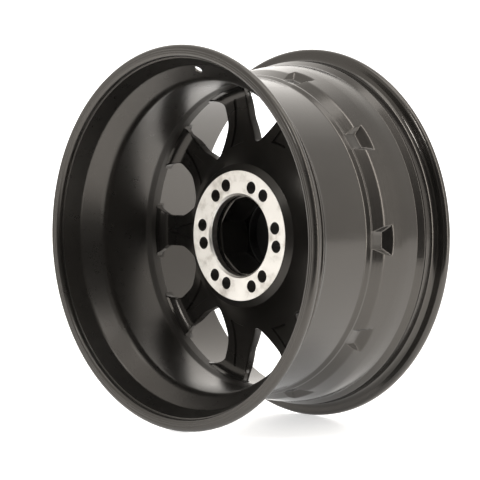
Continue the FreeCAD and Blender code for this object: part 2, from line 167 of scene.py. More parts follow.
class WheelStudio(bpy.types.PropertyGroup):
    """Place of the camera and level of the light."""

    azimuth: bpy.props.FloatProperty(
        name="Azimuth", description="Camera direction about the vertical, from the hub side",
        default=math.radians(45.2), subtype="ANGLE", unit="ROTATION")
    elevation: bpy.props.FloatProperty(
        name="Elevation", description="Camera height angle",
        default=math.radians(2.64), subtype="ANGLE", unit="ROTATION")
    distance: bpy.props.FloatProperty(
        name="Distance", description="Camera distance from the middle of the wheel",
        default=2.938, min=0.5, unit="LENGTH")
    room_light: bpy.props.FloatProperty(
        name="Room light", description="Strength of the light from the camera's side of the room",
        default=0.07, min=0.0, max=2.0)
    arch_light: bpy.props.FloatProperty(
        name="Arch light", description="Strength of the arch of light beside the wheel",
        default=5.5, min=0.0, max=8.0)
    back_light: bpy.props.FloatProperty(
        name="Back light", description="Extra strength of the light straight behind the wheel",
        default=1.3, min=0.0, max=4.0)
    light_tint: bpy.props.FloatVectorProperty(
        name="Light tint", description="Tint of the surrounding light",
        default=(1.0, 0.97, 0.93), size=3, min=0.0, max=1.0, subtype="COLOR")
    key_power: bpy.props.FloatProperty(
        name="Key light", description="Power of the soft lamps",
        default=14.0, min=0.0, unit="POWER")


def smooth_step(x):
    """Ramp from 0 at x = -1 to 1 at x = 1, by the cubic that is level at both ends."""
    x = np.clip(x, -1.0, 1.0)
    return 0.5 + x * (0.75 - 0.25 * x * x)


def soft_max(a, b, soft):
    """Larger of two, rounded over about soft: half the sum plus half the root of gap squared."""
    return 0.5 * (a + b + np.sqrt((a - b) ** 2 + soft * soft))


def soft_min(a, b, soft):
    """Smaller of two, rounded in the same way."""
    return 0.5 * (a + b - np.sqrt((a - b) ** 2 + soft * soft))


def arc(centre, radius, start, end, count):
    """Points on a circle from angle start to angle end, in radians."""
    turn = np.linspace(start, end, count)
    return np.column_stack([centre[0] + radius * np.cos(turn), centre[1] + radius * np.sin(turn)])


def rounded_loop(corners, step=math.radians(15)):
    """Closed outline through corners (x, y, round): straight runs joined by tangent arcs.

    An arc of radius q at a corner that turns by a starts q * tan(a / 2) before the corner, and its
    centre lies on the corner's bisector at q / cos(a / 2).
    """
    runs = []
    points = np.array([[x, y] for x, y, _ in corners], float)
    for i, (_, _, radius) in enumerate(corners):
        here = points[i]
        back = points[i - 1] - here
        ahead = points[(i + 1) % len(points)] - here
        back, ahead = back / np.hypot(*back), ahead / np.hypot(*ahead)
        turn = math.pi - math.acos(np.clip(back @ ahead, -1.0, 1.0))
        if radius == 0.0 or turn < 0.02:
            runs.append(here[None, :])
            continue
        first = here + back * radius * math.tan(turn / 2)
        middle = here + (back + ahead) / np.hypot(*(back + ahead)) * radius / math.cos(turn / 2)
        start = math.atan2(*(first - middle)[::-1])
        way = 1.0 if ahead[0] * back[1] - ahead[1] * back[0] < 0 else -1.0
        runs.append(arc(middle, radius, start, start - way * turn, max(3, int(turn / step) + 2)))
    return np.vstack(runs)


def subdivided(loop, low, high, pitch):
    """The closed section with its tyre-side runs cut to the pitch between two axial places."""
    pieces = []
    ends = np.roll(loop, -1, axis=0)
    for a, b in zip(loop, ends):
        inside = low < (a[1] + b[1]) / 2 < high and a[0] > BARREL_MIDDLE
        count = max(1, int(math.ceil(np.hypot(*(b - a)) / pitch))) if inside else 1
        share = np.arange(count)[:, None] / count
        pieces.append(a + (b - a) * share)
    return np.vstack(pieces)


def grid_quads(rows, columns, wrap_rows=False, wrap_columns=False):
    """Corner indices of the quads of a grid whose points run column by column in each row."""
    i = np.arange(rows if wrap_rows else rows - 1)
    j = np.arange(columns if wrap_columns else columns - 1)
    i, j = (a.ravel() for a in np.meshgrid(i, j, indexing="ij"))
    i2, j2 = (i + 1) % rows, (j + 1) % columns
    return np.column_stack([i * columns + j, i * columns + j2, i2 * columns + j2, i2 * columns + j])


def new_piece(name, points, faces, material):
    """Mesh object in metres from points in millimetres, merged, closed and facing outwards."""
    mesh = bpy.data.meshes.new(name)
    mesh.from_pydata((points * MM).tolist(), [], faces if isinstance(faces, list) else faces.tolist())
    work = bmesh.new()
    work.from_mesh(mesh)
    bmesh.ops.remove_doubles(work, verts=work.verts, dist=2e-6)
    bmesh.ops.dissolve_degenerate(work, edges=work.edges, dist=1e-6)
    bmesh.ops.recalc_face_normals(work, faces=work.faces)
    work.to_mesh(mesh)
    work.free()
    piece = bpy.data.objects.new(name, mesh)
    bpy.context.scene.collection.objects.link(piece)
    finish_shading(piece)
    mesh.materials.append(material)
    return piece


def finish_shading(piece):
    """Smooth shading with creases past the sharp angle, and normals weighted by face area."""
    mesh = piece.data
    mesh.polygons.foreach_set("use_smooth", np.ones(len(mesh.polygons), bool))
    mesh.set_sharp_from_angle(angle=CREASE)
    weighted = piece.modifiers.new("Weighted", "WEIGHTED_NORMAL")
    weighted.keep_sharp = True


def cut(piece, cutter):
    """Take the cutter's volume out of the piece and drop the cutter."""
    piece.modifiers.clear()
    tool = piece.modifiers.new("Cut", "BOOLEAN")
    tool.operation = "DIFFERENCE"
    tool.solver = "EXACT"
    tool.object = cutter
    graph = bpy.context.evaluated_depsgraph_get()
    made = bpy.data.meshes.new_from_object(piece.evaluated_get(graph))
    old = piece.data
    piece.modifiers.clear()
    made.name = old.name
    piece.data = made
    bpy.data.meshes.remove(old)
    bpy.data.objects.remove(cutter)
    finish_shading(piece)


def turned_rod(profile, columns):
    """Open profile (distance, height) carried round its axis, both ends closed by one face."""
    turn = np.arange(columns) * (2 * math.pi / columns)
    distance, height = profile[:, :1], profile[:, 1:]
    points = np.stack([
        distance * np.cos(turn), distance * np.sin(turn), np.broadcast_to(height, (len(profile), columns))],
        axis=-1).reshape(-1, 3)
    ring = np.arange(columns)
    faces = grid_quads(len(profile), columns, False, True).tolist()
    return points, faces + [ring[::-1].tolist(), (ring + columns * (len(profile) - 1)).tolist()]


def settled(piece, node="wheel"):
    """Tie a finished piece to the frame in place of its node."""
    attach(piece, "root")
    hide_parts(node)


def groove(distance):
    """Corners of a fine groove in the rear face, from its inner edge outwards."""
    steps = ((0.0, 0.0), (0.3, 0.45), (0.8, 0.45), (1.1, 0.0))
    return [(distance + out, -OVERALL + deep, 0) for out, deep in steps]


# Half section of the barrel as corners (distance from the axis, axial place, rounding).
REAR_FLANGE = [(247.8, -OVERALL, 5.6), (247.8, -HALF_WIDTH, 5.6), (230.9, -HALF_WIDTH, 7.5)]
REAR_SEAT = [(229.3, -97.3, 2), (231.2, -94.3, 2), (229.3, -91.3, 2)]
DROP_CENTRE = [(208, DROP_REAR, 14), (208, 7, 6)]
RIDGE_AND_LEDGE = [(211.3, 13.2, 3), (211.3, 15.6, 0.9), (218.5, 30, 13), (225, 65, 110)]
FRONT_SEAT = [(225.8, 84.5, 2), (231.2, 94.3, 2), (229.3, 97.3, 2)]
FRONT_FLANGE = [
    (230.9, HALF_WIDTH, 7.5), (247.8, HALF_WIDTH, 5.6), (247.8, OVERALL, 5.6), (219.5, OVERALL, 6)]
FRONT_LIP = [(213.552, 50, 0), (213.164, 45, 0), (212.776, 40, 0), (212.388, 35, 0), (LIP, RING_FRONT, 1.2)]
SPOKE_RING = [(RING, RING_FRONT, 1.2), (RING, 16.5, 1.2), (202, 7, 1.0)]
INSIDE = [(202, DROP_REAR, 20), (222.8, -93.5, 9)]
REAR_MOUTH = [(228.8, -112.5, 1.0), (230.6, -118.3, 0.5), (232.2, -118.3, 0.5), (232.2, -OVERALL, 4.6)]
BARREL = [
    *REAR_FLANGE, *REAR_SEAT, *DROP_CENTRE, *RIDGE_AND_LEDGE, *FRONT_SEAT, *FRONT_FLANGE, *FRONT_LIP,
    *SPOKE_RING, *INSIDE, *REAR_MOUTH, *groove(237.2), *groove(240.4),
]


def barrel_turns(met, floor):
    """Turns of the columns of each row, crowded at the creases where the pocket meets the row."""
    crease_low = math.asin(POCKET_HALF / floor)
    crease_high = np.arccos((floor - POCKET_HALF) / (met * math.sqrt(2))) - math.pi / 4
    soft_turn = math.radians(0.16)
    ones = np.ones(len(met))
    knots = np.stack([
        0 * ones, (crease_low - soft_turn) * ones, (crease_low + soft_turn) * ones,
        crease_high - soft_turn, crease_high + soft_turn, HALF_SECTOR * ones], axis=1)
    knots[:, 3] = np.maximum(knots[:, 3], knots[:, 2] + soft_turn / 2)
    knots[:, 4] = np.maximum(knots[:, 4], knots[:, 3] + soft_turn)
    shares = [np.arange(count) / count for count in (4, 2, 4, 2, 8)]
    steps = np.diff(knots, axis=1)
    halves = np.concatenate([
        knots[:, i:i + 1] + steps[:, i:i + 1] * share for i, share in enumerate(shares)], axis=1)
    other = SECTOR - halves[:, :0:-1]
    sector = np.concatenate([halves, HALF_SECTOR * ones[:, None], other], axis=1)
    return (sector[:, None, :] + (np.arange(SPOKES) * SECTOR)[None, :, None]).reshape(len(met), -1)


def barrel_surface(sizes):
    """Barrel: a closed section turned about the axis, its pockets cut as a height field.

    At turn f from a spoke's middle line the pocket reaches down to the largest of three distances:
    the floor, floor / cos f; the flared side, (floor - half width) / (cos f - sin f); and the leaning
    front wall. The surface is the smaller of the turned section and that pocket, softly joined.
    """
    loop = rounded_loop(BARREL)
    loop = subdivided(loop, 15.0, 30.0, 1.5)
    loop = subdivided(loop, 30.0, 46.5, 0.95)
    distance, height = loop[:, 0], loop[:, 1]
    outer = np.arange(len(loop)) <= int(np.argmax(height))
    floor = sizes.pocket_floor / MM
    turn = barrel_turns(np.where(outer, np.clip(distance, 212.4, 225.5), 218.0), floor)
    aside = np.abs((turn + HALF_SECTOR) % SECTOR - HALF_SECTOR)
    y = height[:, None]
    base = distance[:, None]
    lean = (POCKET_TOP - POCKET_FOOT) / POCKET_RISE
    deep = floor / np.cos(aside)
    side = (floor - POCKET_HALF) / np.maximum(np.cos(aside) - np.sin(aside), 0.2)
    wall = (floor + (y - POCKET_FOOT) / lean) / np.cos(aside)
    pocket = soft_max(soft_max(deep, side, 0.8), wall, 0.9)
    reached = (y > POCKET_REACH[0]) & (y < POCKET_REACH[1])
    backed = (y > POCKET_BACK[0]) & (y < POCKET_BACK[1])
    outside = np.where(reached, soft_min(base, pocket, 0.7), base)
    inside = np.where(backed, np.minimum(base, pocket - POCKET_WALL), base)
    radius = np.where(outer[:, None], outside, inside)
    points = np.stack([
        radius * np.cos(turn), np.broadcast_to(y, radius.shape), radius * np.sin(turn)], axis=-1)
    return points.reshape(-1, 3), grid_quads(*turn.shape, True, True)


def valve_cutter(sizes):
    """Rod through the rear cone, square to its wall and widened on the tyre side."""
    radius = sizes.valve_radius / MM
    mouth = 9.0
    profile = np.array([
        [radius + 0.5, -14.0], [radius + 0.5, -0.1], [radius, 0.5], [radius, 2.6],
        [mouth, 6.2], [mouth, 20.0]])
    points, faces = turned_rod(profile, 48)
    along = np.array(VALVE_AXIS)
    across = np.array([1.0, 0.0, 0.0])
    axes = np.stack([across, np.cross(along, across), along])
    return points @ axes + np.array(VALVE_AT), faces


def spoke_edge():
    """Edge of half a spoke from the hub outwards, and the inward normal at each of its points.

    The window's edge is a chain in the spoke's own axes: a round of 7 at the window's inner end, a
    straight side, a round of 36, a side parallel to the spoke, and a round of 14 into the ring.
    """
    deg = math.radians
    chain, normals = [], []

    def add_arc(centre, radius, start, end, count):
        chain.append(arc(centre, radius, deg(start), deg(end), count))
        normals.append(arc((0.0, 0.0), 1.0, deg(start), deg(end), count))

    def add_line(start, end, count, normal):
        share = np.linspace(0, 1, count)[1:-1, None]
        chain.append(np.array(start) + (np.array(end) - np.array(start)) * share)
        normals.append(np.broadcast_to(np.array(normal), (count - 2, 2)))

    add_arc((124.56, 124.56 * math.tan(HALF_SECTOR)), 7.0, 198.0, 250.0, 9)
    add_line((122.17, 33.89), (151.63, 23.17), 15, (-math.sin(deg(20)), -math.cos(deg(20))))
    add_arc((163.95, 57.0), 36.0, 250.0, 270.0, 6)
    add_line((163.95, 21.0), (183.19, 21.0), 11, (0.0, -1.0))
    add_arc((183.19, 35.0), 14.0, 270.0, 370.82, 16)
    return np.vstack(chain), np.vstack(normals)


def bell(radius, thick):
    """Axial place of the bell at a distance from the axis, thick in front of its rear face."""
    reach = BELL_RADIUS + thick
    from_rim = BELL_RIM - np.minimum(radius, BELL_RIM)
    curved = BELL_CENTRE + np.sqrt(np.maximum(reach * reach - from_rim ** 2, 1.0))
    return np.where(radius < BELL_RIM, curved, SPOKE_BACK + thick)


def disc_back(radius, aside, sizes):
    """Rear face of the disc: bell, flat spoke end, hollow round into the ring, shallow recess."""
    y = bell(radius, 0.0)
    foot = BELL_CENTRE + math.sqrt(BELL_RADIUS ** 2 - (BELL_RIM - BELL_FOOT) ** 2)
    y = np.where(radius < BELL_FOOT, foot + 0.62 * (radius - BELL_FOOT), y)
    root = 15.0
    in_root = np.clip(radius - (RING - root), 0.0, root)
    y = y - np.where(radius > RING - root, root - np.sqrt(root * root - in_root ** 2), 0.0)
    behind = smooth_step((radius - 209.65) / 1.15) * smooth_step((13.5 - aside) / 1.5)
    y = np.where(radius > RING + 1.8, 27.0 + behind * (7.7 + (radius - 211.0).clip(0)), y)
    half = np.interp(radius, RECESS_ENDS, RECESS_HALVES)
    mask = smooth_step((half - aside) / RECESS_EDGE)
    mask = mask * smooth_step((radius - RECESS_ENDS[0]) / RECESS_EDGE)
    mask = mask * smooth_step((RECESS_ENDS[1] - radius) / RECESS_EDGE)
    return y + sizes.recess_depth / MM * mask


def disc_front(radius, aside, sizes):
    """Front face of the disc: the bell, with a crown of trapezoid section along each spoke."""
    slope = (CROWN_FOOT - aside) / (CROWN_FOOT - CROWN_TOP)
    crown = soft_min(soft_max(slope, 0.0, 0.25), 1.0, 0.25)
    rise = sizes.crown_rise / MM * crown * smooth_step((radius - BELL_FOOT) / 0.8)
    return bell(radius, SPOKE_THICK) + rise


def spread(knots, counts):
    """Columns of values between neighbouring knot columns, count of steps each, ends included."""
    runs = []
    for i, count in enumerate(counts):
        last = i == len(counts) - 1
        share = np.linspace(0, 1, count + 1)[None, :count + 1 if last else count]
        runs.append(knots[i][:, None] + (knots[i + 1] - knots[i])[:, None] * share)
    return np.concatenate(runs, axis=1)


def disc_rows(rho):
    """Rows of half a spoke: inner points of its edge, inward normals, edge rounding, first window row.

    The rows go from the hub along the window's edge into the ring, with more at the recess ends.
    """
    edge, inward = spoke_edge()
    inner = edge + inward * rho
    at = np.arange(len(edge), dtype=float)
    wanted = np.add.outer(RECESS_ENDS, (-RECESS_EDGE, 0.0, RECESS_EDGE)).ravel()
    places = np.sort(np.concatenate([at, np.interp(wanted, np.hypot(*inner.T), at)]))
    inner, inward = (
        np.column_stack([np.interp(places, at, column) for column in line.T]) for line in (inner, inward))
    hub_rows = np.concatenate([
        np.linspace(DISC_INNER, 93.6, 5), np.linspace(94.2, 95.8, 5), np.linspace(97.5, 120.9, 11)])
    hub_inner = hub_rows[:, None] * np.array([math.cos(HALF_SECTOR), math.sin(HALF_SECTOR)])
    root_rows = np.concatenate([[SPOKE_END[1]], np.linspace(204.5, 207.5, 2), np.linspace(208.5, 214.3, 8)])
    root_half = np.full(len(root_rows), SPOKE_END_HALVES[1])
    root_inner = np.column_stack([np.sqrt(root_rows ** 2 - root_half ** 2), root_half])
    root_in = np.column_stack([np.zeros(len(root_rows)), -np.ones(len(root_rows))])
    first_window = len(hub_rows)
    lip_round = np.concatenate([
        np.full(first_window + len(inner), rho), np.full(len(root_rows), ROOT_ROUND)])
    inward = np.vstack([np.zeros((first_window, 2)), inward, root_in])
    return np.vstack([hub_inner, inner, root_inner]), inward, lip_round, first_window


def half_spoke(sizes):
    """Half a spoke, from its middle line to the window, as rows of constant distance.

    A row runs over the back from the spoke's middle line to the edge, round the edge, over the wall,
    round the front edge and back over the front; back and front are height fields of the bell. Near
    the ring the front edge runs on straight, and only the back has the round into the ring.
    """
    inner, inward, lip_round, first_window = disc_rows(sizes.edge_round / MM)
    radius = np.hypot(*inner.T)
    reach = np.arctan2(inner[:, 1], inner[:, 0])
    straight = (np.arange(len(radius)) >= first_window) & (radius > SPOKE_END[0])
    width = np.where(straight, np.interp(radius, SPOKE_END, SPOKE_END_HALVES), inner[:, 1])
    front_inner = np.column_stack([np.sqrt(radius ** 2 - width ** 2), width])
    front_inward = np.where(straight[:, None], np.array([0.0, -1.0]), inward)
    front_reach = np.arcsin(width / radius)
    half = np.interp(radius, RECESS_ENDS, RECESS_HALVES)
    zero = np.zeros(len(radius))
    back_turn = spread([zero, (half - RECESS_EDGE) / radius, (half + RECESS_EDGE) / radius, reach], [3, 4, 9])
    creases = [
        crease + shift for crease in (CROWN_TOP, CROWN_FOOT) for shift in (-CROWN_EDGE, CROWN_EDGE)]
    front_turn = spread([zero, *(crease / radius for crease in creases), front_reach], [2, 3, 2, 3, 6])
    r_back = np.broadcast_to(radius[:, None], back_turn.shape)
    r_front = np.broadcast_to(radius[:, None], front_turn.shape)
    back_y = disc_back(r_back, r_back * np.sin(back_turn), sizes)
    front_y = disc_front(r_front, r_front * np.sin(front_turn), sizes)
    turn = np.linspace(0, math.pi / 2, 5)[1:]
    out, down = np.sin(turn), 1 - np.cos(turn)
    lap = (lip_round[:, None] * out)[:, :, None]
    outward = inner[:, None, :] - inward[:, None, :] * lap
    front_outward = front_inner[:, None, :] - front_inward[:, None, :] * lap
    lap_back = back_y[:, -1:] + lip_round[:, None] * down
    lap_front = front_y[:, -1:] - lip_round[:, None] * down
    wall_share = np.array([1 / 3, 2 / 3])
    wall_y = lap_back[:, -1:] + (lap_front[:, -1:] - lap_back[:, -1:]) * wall_share
    wall_xz = np.stack([outward[:, -1], front_outward[:, -1]], axis=1)
    x = np.concatenate([
        r_back * np.cos(back_turn), outward[:, :, 0], wall_xz[:, :, 0], front_outward[:, ::-1, 0],
        (r_front * np.cos(front_turn))[:, ::-1]], axis=1)
    z = np.concatenate([
        r_back * np.sin(back_turn), outward[:, :, 1], wall_xz[:, :, 1], front_outward[:, ::-1, 1],
        (r_front * np.sin(front_turn))[:, ::-1]], axis=1)
    y = np.concatenate([back_y, lap_back, wall_y, lap_front[:, ::-1], front_y[:, ::-1]], axis=1)
    rows, columns = x.shape
    quads = grid_quads(rows, columns)
    row, column = quads[:, 0] // columns, quads[:, 0] % columns
    on_wall = (column >= back_turn.shape[1] - 1) & (column < columns - front_turn.shape[1])
    quads = quads[~(on_wall & (row < first_window))]
    first = np.arange(columns)
    ends = [first[(first < back_turn.shape[1]) | (first >= columns - front_turn.shape[1])][::-1].tolist(),
            (first + (rows - 1) * columns).tolist()]
    return np.stack([x, y, z], axis=-1).reshape(-1, 3), quads.tolist() + ends


def disc_surface(sizes):
    """Disc: half a spoke mirrored in its middle line and turned round the axis."""
    half_points, half_faces = half_spoke(sizes)
    spoke_points = np.vstack([half_points, half_points * np.array([1.0, 1.0, -1.0])])
    count = len(half_points)
    spoke_faces = half_faces + [[index + count for index in reversed(face)] for face in half_faces]
    angle = np.arange(SPOKES) * SECTOR
    c, s = np.cos(angle)[:, None], np.sin(angle)[:, None]
    px, py, pz = spoke_points.T
    points = np.stack([px * c - pz * s, np.broadcast_to(py, (SPOKES, len(py))), px * s + pz * c], axis=-1)
    shifts = [k * len(spoke_points) for k in range(SPOKES)]
    faces = [[index + shift for index in face] for shift in shifts for face in spoke_faces]
    return points.reshape(-1, 3), faces


# Half section of the hub, in the same form.
HUB = [
    (53.05, -9.9, 0.5), (56.0, PAD_AT, 0.5), (85.8, PAD_AT, 0.5), (86.3, -11.6, 0.3), (98.5, 5.9, 0),
    (92.7, DECK, 0), (59.6, DECK, 6), (57.6, HUB_FRONT, 2), (48.5, HUB_FRONT, 0.6), (48.5, 61.0, 0),
    (CORE, 60.9, 0), (CORE, 6.25, 0), (53.05, 6.15, 0.3),
]


def hub_surface():
    """Hub: a closed section turned about the axis; between bore and cap hole the wall is eight-sided.

    The eight-sided wall lies at CORE / cos(w), w the turn from the middle of its nearest side.
    """
    loop = rounded_loop(HUB)
    columns = 240
    turn = CORE_TURN + np.arange(columns) * (2 * math.pi / columns)
    eighth = math.pi / 4
    from_side = (turn - CORE_TURN) % eighth - eighth / 2
    cored = (loop[:, :1] == CORE).astype(float)
    radius = loop[:, :1] * (1 + cored * (1 / np.cos(from_side) - 1))
    points = np.stack([
        radius * np.cos(turn), np.broadcast_to(loop[:, 1:], radius.shape), radius * np.sin(turn)],
        axis=-1).reshape(-1, 3)
    return points, grid_quads(len(loop), columns, True, True)


def lug_cutters(sizes):
    """Twelve lug holes: a rod through the pad, a conical seat and an open socket in front of it."""
    radius = sizes.lug_radius / MM
    profile = np.array([
        [radius + 0.6, -20.0], [radius + 0.6, PAD_AT], [radius, PAD_AT + 0.6], [radius, LUG_SEAT_AT],
        [LUG_SEAT, LUG_SEAT_AT], [LUG_SOCKET, DECK], [LUG_SOCKET, 80.0]])
    points, faces = turned_rod(profile, 40)
    points = points[:, [0, 2, 1]]
    all_points, all_faces = [], []
    for k in range(6):
        for circle, side in LUG_CIRCLES:
            angle = math.radians(60 * k + side)
            shift = len(points) * len(all_points)
            all_faces += [[index + shift for index in face] for face in faces]
            all_points.append(points + np.array([circle * math.cos(angle), 0.0, circle * math.sin(angle)]))
    return np.vstack(all_points), all_faces


def node_tree(name):
    """New material with its node tree cleared to an output and a Principled shader."""
    material = bpy.data.materials.new(name)
    material.use_nodes = True
    tree = material.node_tree
    tree.nodes.clear()
    output = tree.nodes.new("ShaderNodeOutputMaterial")
    shader = tree.nodes.new("ShaderNodeBsdfPrincipled")
    tree.links.new(shader.outputs["BSDF"], output.inputs["Surface"])
    return material, tree, shader


def add_node(tree, kind, **settings):
    """Node of a kind with its settings; keys that name an input set that input."""
    node = tree.nodes.new(kind)
    for key, value in settings.items():
        if key in node.inputs:
            node.inputs[key].default_value = value
        else:
            setattr(node, key, value)
    return node


def noise(tree, coordinates, scale, detail=4.0, roughness=0.55):
    """Noise over the given coordinates."""
    node = add_node(tree, "ShaderNodeTexNoise", Scale=scale, Detail=detail, Roughness=roughness)
    tree.links.new(coordinates, node.inputs["Vector"])
    return node.outputs["Fac"]


def ramp(tree, value, low, high, start=0.0, end=1.0):
    """Value mapped from low..high to start..end, held at the ends."""
    node = add_node(tree, "ShaderNodeMapRange")
    node.inputs["From Min"].default_value = low
    node.inputs["From Max"].default_value = high
    node.inputs["To Min"].default_value = start
    node.inputs["To Max"].default_value = end
    tree.links.new(value, node.inputs["Value"])
    return node.outputs["Result"]


def blend(tree, factor, first, second):
    """Colour between first and second by the factor; either may be a colour or a socket."""
    node = tree.nodes.new("ShaderNodeMix")
    node.data_type = "RGBA"
    tree.links.new(factor, node.inputs["Factor"])
    for value, socket in ((first, node.inputs[6]), (second, node.inputs[7])):
        if isinstance(value, bpy.types.NodeSocket):
            tree.links.new(value, socket)
        else:
            socket.default_value = (*value, 1.0)
    return node.outputs[2]


def calc(tree, operation, first, second):
    """One arithmetic step on sockets or numbers."""
    node = tree.nodes.new("ShaderNodeMath")
    node.operation = operation
    for value, socket in ((first, node.inputs[0]), (second, node.inputs[1])):
        if isinstance(value, bpy.types.NodeSocket):
            tree.links.new(value, socket)
        else:
            socket.default_value = value
    return node.outputs[0]


def between(tree, factor, first, second):
    """Number between two sockets by the factor."""
    node = tree.nodes.new("ShaderNodeMix")
    for socket, value in ((0, factor), (2, first), (3, second)):
        tree.links.new(value, node.inputs[socket])
    return node.outputs[0]


def where_all(tree, *masks):
    """Mask that holds where all the given masks hold."""
    result = masks[0]
    for mask in masks[1:]:
        result = calc(tree, "MULTIPLY", result, mask)
    return result


def below(tree, value, limit):
    """Mask where the value, in metres, lies below a limit in millimetres."""
    return calc(tree, "LESS_THAN", value, limit * MM)


def above(tree, value, limit):
    """Mask where the value, in metres, lies above a limit in millimetres."""
    return calc(tree, "GREATER_THAN", value, limit * MM)


class Coat:
    """Node tree of a satin coat with fine grain and faint dust, over Object coordinates."""

    def __init__(self, finish, name, gloss=0.85, duller=0.0):
        self.material, self.tree, self.shader = node_tree(name)
        tree = self.tree
        self.place = tree.nodes.new("ShaderNodeTexCoord").outputs["Object"]
        patches = noise(tree, self.place, 9.0, 5.0)
        cloud = noise(tree, self.place, 60.0, 4.0)
        self.height = noise(tree, self.place, 900.0, 3.0, 0.6)
        self.colour = blend(
            tree, ramp(tree, patches, 0.38, 0.68), tuple(finish.coat), tuple(finish.coat_worn))
        rough = finish.coat_roughness + duller
        self.roughness = calc(tree, "ADD", ramp(tree, cloud, 0.3, 0.7, rough - 0.015, rough + 0.015),
                              ramp(tree, self.height, 0.3, 0.7, -0.015, 0.015))
        self.shader.inputs["Specular IOR Level"].default_value = gloss
        self.shader.inputs["Specular Tint"].default_value = (1.0, 0.93, 0.85, 1.0)
        axes = tree.nodes.new("ShaderNodeSeparateXYZ")
        tree.links.new(self.place, axes.inputs[0])
        squares = calc(tree, "ADD", calc(tree, "MULTIPLY", axes.outputs["X"], axes.outputs["X"]),
                       calc(tree, "MULTIPLY", axes.outputs["Z"], axes.outputs["Z"]))
        self.axial = axes.outputs["Y"]
        self.distance = calc(tree, "SQRT", squares, 0.0)

    def rougher(self, mask, amount):
        """Add to the roughness under the mask."""
        self.roughness = calc(self.tree, "ADD", self.roughness, calc(self.tree, "MULTIPLY", mask, amount))

    def paint_shade(self, mask, finish, share):
        """Painted shade: bring the colour under the mask to a share of the coat's."""
        self.colour = blend(self.tree, mask, self.colour, tuple(share * value for value in finish.coat))

    def linked(self):
        """Link colour, roughness and grain to the shader, and give the material."""
        bump = add_node(self.tree, "ShaderNodeBump", Strength=0.05, Distance=0.0003)
        self.tree.links.new(self.height, bump.inputs["Height"])
        self.tree.links.new(self.colour, self.shader.inputs["Base Color"])
        self.tree.links.new(self.roughness, self.shader.inputs["Roughness"])
        self.tree.links.new(bump.outputs["Normal"], self.shader.inputs["Normal"])
        return self.material


def barrel_coat(finish):
    """Coat of the barrel: faint turning lines outside, duller inside, and on the spoke ring duller still,
    with painted shade darkening its colour.
    """
    coat = Coat(finish, "barrel_coat")
    tree = coat.tree
    behind = calc(tree, "MAXIMUM", calc(tree, "SUBTRACT", DROP_REAR * MM, coat.axial), 0.0)
    cone = calc(tree, "MULTIPLY", behind, CONE_SLOPE)
    within = below(tree, calc(tree, "SUBTRACT", coat.distance, cone), BARREL_MIDDLE)
    on_ring = where_all(tree, within, ramp(tree, coat.axial, 0.004, 0.010))
    line_place = tree.nodes.new("ShaderNodeCombineXYZ")
    tree.links.new(coat.axial, line_place.inputs[1])
    lines = ramp(tree, noise(tree, line_place.outputs[0], 420.0, 3.0, 0.7), 0.35, 0.65, -0.04, 0.05)
    coat.rougher(within, 0.13)
    coat.rougher(on_ring, 0.3)
    coat.rougher(calc(tree, "SUBTRACT", 1.0, within), lines)
    # Painted shade: the spoke ring's colour is brought to 0.4 of the coat's, so it reads as a dark band
    # beside the windows.
    coat.paint_shade(on_ring, finish, 0.4)
    return coat.linked()


def disc_coat(finish):
    """Coat over as-cast skin: duller, less so at the spoke ends."""
    coat = Coat(finish, "disc_coat", gloss=0.5, duller=0.15)
    coat.rougher(ramp(coat.tree, coat.distance, 0.165, 0.188), -0.1)
    return coat.linked()


def hub_coat(finish):
    """Coat of the hub: hub face, bore and edge of the cap hole are bare metal; lug holes are dull, with
    painted shade darkening their colour.
    """
    coat = Coat(finish, "hub_coat")
    tree, axial, distance = coat.tree, coat.axial, coat.distance
    on_face = where_all(tree, below(tree, axial, PAD_AT + 0.45), below(tree, distance, PAD_EDGE))
    in_bore = where_all(tree, below(tree, distance, BORE_MOUTH), below(tree, axial, PAD_AT + 12.0))
    on_edge = where_all(tree, below(tree, distance, CAP_HOLE_EDGE), above(tree, axial, CAP_SEAT))
    bare = calc(tree, "MAXIMUM", calc(tree, "MAXIMUM", on_face, in_bore), on_edge)
    in_hole = where_all(
        tree, above(tree, axial, PAD_AT + 0.7), below(tree, axial, DECK - 0.3),
        above(tree, distance, LUG_BAND[0]), below(tree, distance, LUG_BAND[1]))
    # Painted shade: the lug hole walls' colour is brought to 0.3 of the coat's so the holes read dark; their
    # roughness is raised as well.
    coat.paint_shade(in_hole, finish, 0.3)
    coat.roughness = calc(tree, "MAXIMUM", coat.roughness, calc(tree, "MULTIPLY", in_hole, 0.95))
    stains = noise(tree, coat.place, 46.0, 6.0, 0.6)
    metal = blend(tree, ramp(tree, stains, 0.5, 0.72), tuple(finish.bare), tuple(finish.bare_stain))
    rings = add_node(tree, "ShaderNodeTexWave", Scale=1.0, Distortion=0.4)
    line_place = tree.nodes.new("ShaderNodeCombineXYZ")
    tree.links.new(calc(tree, "MULTIPLY", distance, 950.0), line_place.inputs[0])
    tree.links.new(line_place.outputs[0], rings.inputs["Vector"])
    coat.colour = blend(tree, bare, coat.colour, metal)
    coat.roughness = between(tree, bare, coat.roughness, ramp(tree, stains, 0.35, 0.75, 0.34, 0.55))
    coat.height = between(tree, bare, coat.height, rings.outputs["Fac"])
    tree.links.new(bare, coat.shader.inputs["Metallic"])
    return coat.linked()


def cap_material(finish):
    """Matt black moulded cap with a fine leathery grain."""
    material, tree, shader = node_tree("cap_plastic")
    place = tree.nodes.new("ShaderNodeTexCoord").outputs["Object"]
    grain = noise(tree, place, 1400.0, 2.0)
    cloud = noise(tree, place, 30.0, 4.0)
    lighter = tuple(1.6 * value for value in finish.cap)
    colour = blend(tree, ramp(tree, cloud, 0.35, 0.7), tuple(finish.cap), lighter)
    tree.links.new(colour, shader.inputs["Base Color"])
    tree.links.new(ramp(tree, cloud, 0.3, 0.7, 0.42, 0.56), shader.inputs["Roughness"])
    bump = add_node(tree, "ShaderNodeBump", Strength=0.2, Distance=0.0003)
    tree.links.new(grain, bump.inputs["Height"])
    tree.links.new(bump.outputs["Normal"], shader.inputs["Normal"])
    return material


